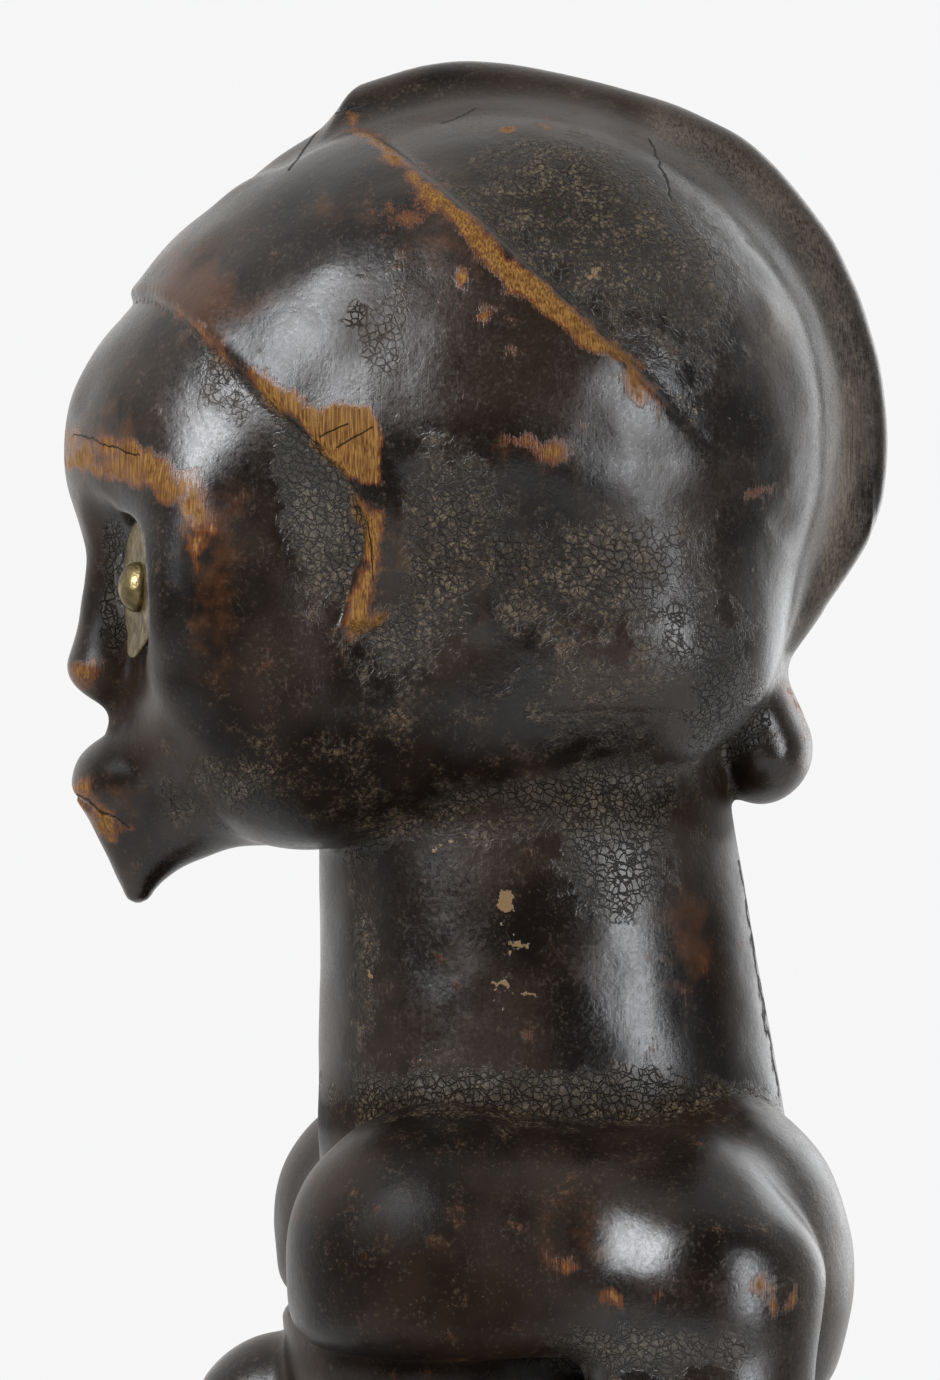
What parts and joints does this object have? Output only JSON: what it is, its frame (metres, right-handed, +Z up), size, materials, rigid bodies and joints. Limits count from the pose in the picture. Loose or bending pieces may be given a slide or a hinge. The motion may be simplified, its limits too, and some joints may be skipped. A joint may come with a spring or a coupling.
{
  "type": "carved wooden figure",
  "caption": "Standing carved wooden guardian figure with a large head, disc eyes fixed by dome nails, bulging limbs and a round plinth.",
  "frame": {"origin": "centre of the plinth's underside, below the middle of the whole figure's box", "axes": "+Z up, the figure faces -Y, its own left side is +X"},
  "size_m": [0.152, 0.164, 0.5],
  "materials": {
    "patinated_wood": "dark oiled patina, worn to brown on the edges",
    "eye_brass": "dull, tarnished",
    "eye_bedding": "cracked dark resin"
  },
  "bodies": {
    "root": {"carved_figure": "patinated_wood", "eye_plate_left": "eye_brass", "eye_plate_right": "eye_brass", "eye_nail_left": "eye_brass", "eye_nail_right": "eye_brass", "eye_resin_left": "eye_bedding", "eye_resin_right": "eye_bedding"}
  },
  "joints": []
}
